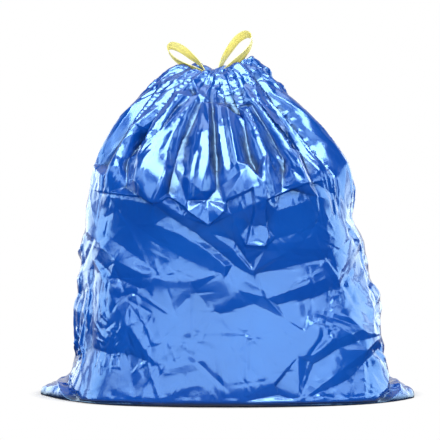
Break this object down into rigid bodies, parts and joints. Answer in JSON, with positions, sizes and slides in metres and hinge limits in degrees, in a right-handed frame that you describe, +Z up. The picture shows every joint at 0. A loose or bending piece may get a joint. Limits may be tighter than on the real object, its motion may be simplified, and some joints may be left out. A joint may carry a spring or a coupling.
{
  "type": "drawstring bin bag",
  "caption": "Filled drawtape refuse bag of thin glossy film, its hem gathered shut in pleats at the neck, with pull loops of flat tape and pointed bottom corners",
  "frame": {"origin": "on the floor, under the middle of the bag's outline", "axes": "+Z up, +X to the right across the wide front, -Y out of the front"},
  "size_m": [0.5194, 0.314, 0.5027],
  "materials": {
    "bag_film": "thin blue polyethylene film, glossy, pleated and creased",
    "drawtape": "flat yellow polyethylene tape, satin"
  },
  "bodies": {
    "root": {"bag": "bag_film", "left_drawtape": "drawtape", "right_drawtape": "drawtape"}
  },
  "joints": []
}
